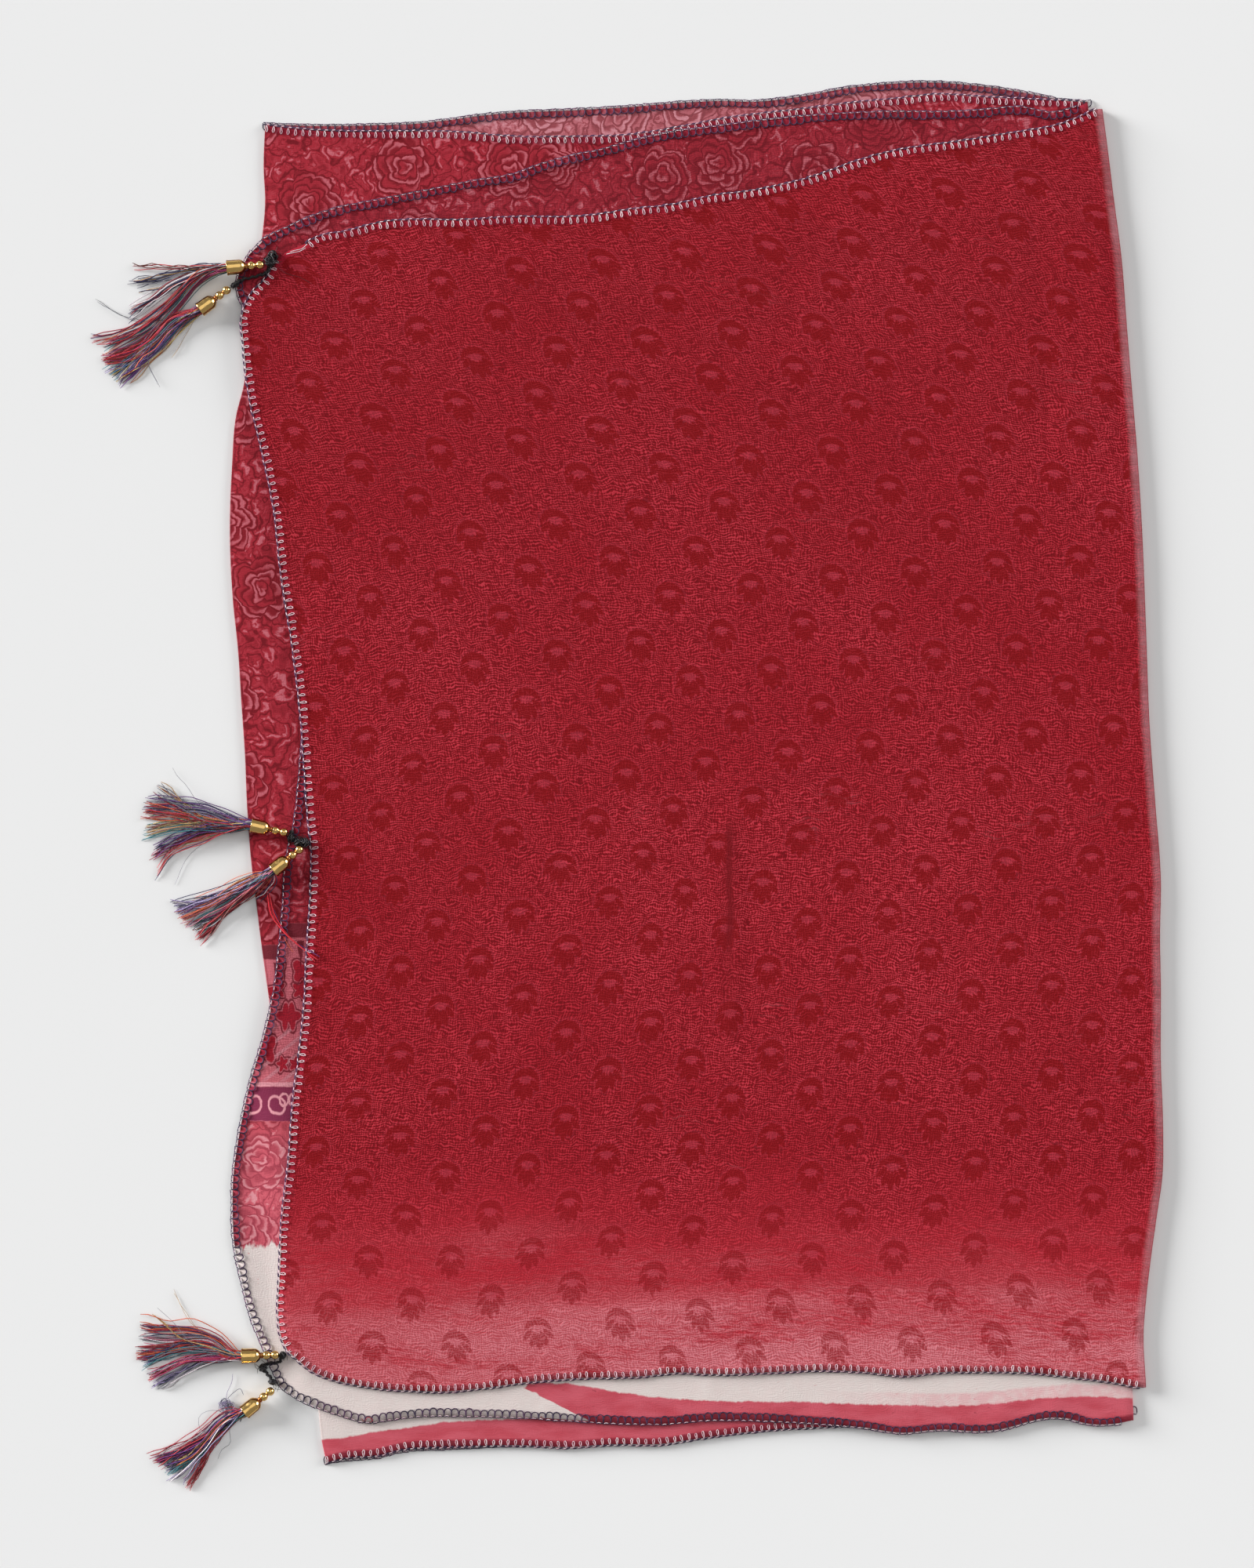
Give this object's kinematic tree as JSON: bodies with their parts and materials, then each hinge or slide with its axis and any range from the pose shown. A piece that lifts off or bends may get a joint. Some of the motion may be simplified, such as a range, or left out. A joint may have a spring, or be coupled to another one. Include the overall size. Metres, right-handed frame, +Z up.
{
  "type": "wrap scarf",
  "caption": "Long sheer printed scarf with overlocked edges and capped thread tassels, folded in four layers and lying flat.",
  "frame": {"origin": "on the surface it lies on, under the middle of the whole outline", "axes": "+Y towards the top hems as in the picture, +X towards the two folds on the right, +Z up"},
  "size_m": [0.5601, 0.74, 0.0113],
  "materials": {
    "red_print": "thin crinkled crepe, crimson ground with small dark red leaf sprigs",
    "rose_print": "thin crinkled crepe, wrong side of a rose print with a patterned border and a cream end",
    "under_print": "thin crinkled crepe, rose print",
    "gold_cap": "polished gold-coloured metal, worn to copper in the grooves",
    "tassel_thread": "glossy loose threads in red, purple, teal, orange and grey",
    "black_tie": "waxed black thread, wound and knotted"
  },
  "bodies": {
    "root": {"stretch_1": "red_print", "stretch_2": "rose_print", "under_layers": "under_print", "tassel_cap_1": "gold_cap", "tassel_cap_2": "gold_cap", "tassel_cap_3": "gold_cap", "tassel_cap_4": "gold_cap", "tassel_cap_5": "gold_cap", "tassel_cap_6": "gold_cap", "tassel_1": "tassel_thread", "tassel_2": "tassel_thread", "tassel_3": "tassel_thread", "tassel_4": "tassel_thread", "tassel_5": "tassel_thread", "tassel_6": "tassel_thread", "tie_top": "black_tie", "tie_middle": "black_tie", "tie_bottom": "black_tie"}
  },
  "joints": []
}
